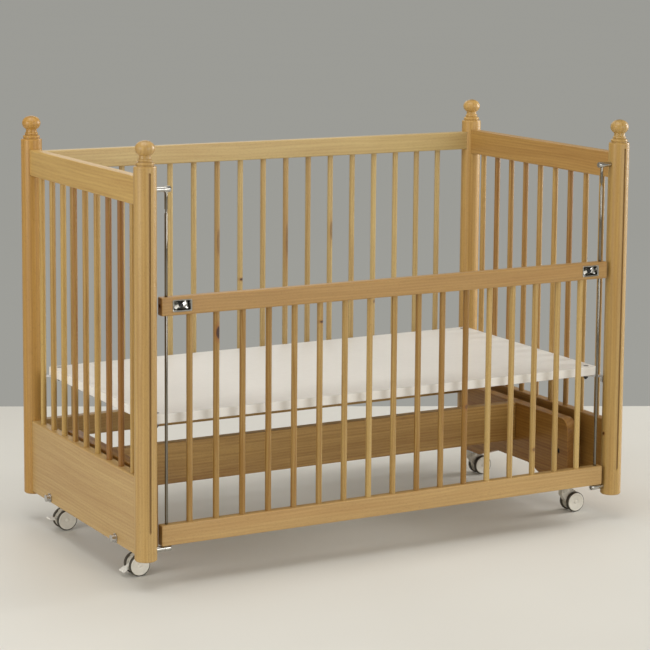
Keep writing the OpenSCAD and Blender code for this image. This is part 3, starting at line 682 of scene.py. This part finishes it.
def caster(c):
    """The two wheels and tyres of one caster; its fork and brake tab stay as the CAD has them."""
    for side in ("front", "back"):
        node = f"wheel_{c}_{side}"
        lo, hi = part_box(node)
        t = 1 if side == "back" else -1  # the way that the wheel's outer face looks
        cx, cz = (lo.x + hi.x) / 2, (lo.z + hi.z) / 2
        y_out = hi.y if t > 0 else lo.y
        disc, tread = ([(r * MM, y_out - t * d * MM) for r, d in rows] for rows in (DISC, TREAD))
        bm = bmesh.new()
        lathe(bm, disc, (cx, 0, cz), "Y", 72)
        w = make(f"disc_{c}_{side}", bm, M["disc"], BODY[node], sharp=50)
        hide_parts(node)
        node = f"tyre_{c}_{side}"
        bm = bmesh.new()
        rows = lathe(bm, tread, (cx, 0, cz), "Y", 96)
        skin(bm, rows[-1], rows[0])
        w = make(f"tread_{c}_{side}", bm, M["tyre"], BODY[node], sharp=50)
        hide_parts(node)
    bevel_cad("fork_" + c, 1.1 * MM, M["grey"], segs=3, angle=35)
    if c[1] == "L":
        bevel_cad("brake_tab_" + c, 0.7 * MM, M["tab"], segs=3, angle=35)


for c in ("FL", "FR", "BL", "BR"):
    caster(c)


# ------------------------------------------------------------------- stage
ACROSS, ALONG = Vector((0.4505, 0.8928, 0)), Vector((0.8928, -0.4505, 0))  # of the line that ends the floor
FLOOR_FROM, FLOOR_TO, BACKDROP_TO, HALF_WIDTH = -22.0, 1.2787, 60.0, 45


def make_stage():
    """A flat ground: a pale satin floor where the crib stands, and matt grey behind a straight line."""
    for name, a, b in (("floor", FLOOR_FROM, FLOOR_TO), ("backdrop", FLOOR_TO, BACKDROP_TO)):
        me = bpy.data.meshes.new(name)
        side = ALONG * HALF_WIDTH
        pts = [ACROSS * a - side, ACROSS * a + side, ACROSS * b + side, ACROSS * b - side]
        me.from_pydata([p[:] for p in pts], [], [(0, 1, 2, 3)])
        o = place(name, me)
        t = Tree("stage_" + name)
        p = t.obj()
        if name == "floor":
            cloud = t.remap(t.noise(p, 1.1, 2), 0.35, 0.65)
            col = t.mix(cloud, (0.685, 0.67, 0.615), (0.715, 0.70, 0.645))
            rough = t.remap(t.noise(p, 3, 3), 0.3, 0.7, 0.44, 0.50)
            t.set(Base_Color=col, Roughness=rough, Specular_IOR_Level=0.3)
        else:
            cloud = t.remap(t.noise(p, 0.6, 2), 0.35, 0.65)
            col = t.mix(cloud, (0.018, 0.018, 0.017), (0.022, 0.022, 0.021))
            t.set(Base_Color=col, Roughness=1.0, Specular_IOR_Level=0.0)
            t.set(Emission_Color=(0.325, 0.324, 0.300, 1), Emission_Strength=1.0)
        paint(o, t.mat)


make_stage()


def softbox(name, loc, target, size, power):
    """A rectangular light that looks at target and stays out of the picture."""
    d = bpy.data.lights.new(name, "AREA")
    d.shape = "RECTANGLE"
    d.size, d.size_y = size
    d.energy = power
    o = place(name, d)
    o.location = loc
    o.visible_camera = False
    o.rotation_mode = "QUATERNION"
    o.rotation_quaternion = (Vector(target) - Vector(loc)).to_track_quat("-Z", "Y")


softbox("softbox_top", (-0.8, -0.4, 3.6), (-0.2, -0.2, 0.4), (3.2, 2.4), 63)
softbox("softbox_left", (-4.3, -0.9, 1.5), (0, 0, 0.35), (2.2, 2.2), 72)
softbox("softbox_right", (4.6, -0.5, 1.6), (0.2, 0, 0.5), (1.6, 2.4), 150)
softbox("softbox_front", (1.3, -5.8, 1.5), (0, 0, 0.25), (3.6, 1.9), 102)
softbox("softbox_back", (1.0, 3.9, 2.7), (0, -0.2, 0.3), (2.8, 1.8), 22)

world = bpy.data.worlds.new("world")
bpy.context.scene.world = world
world.use_nodes = True
bg = world.node_tree.nodes["Background"]
bg.inputs[0].default_value = (0.64, 0.605, 0.54, 1)
bg.inputs[1].default_value = 0.50
bpy.context.scene.view_settings.view_transform = "Standard"
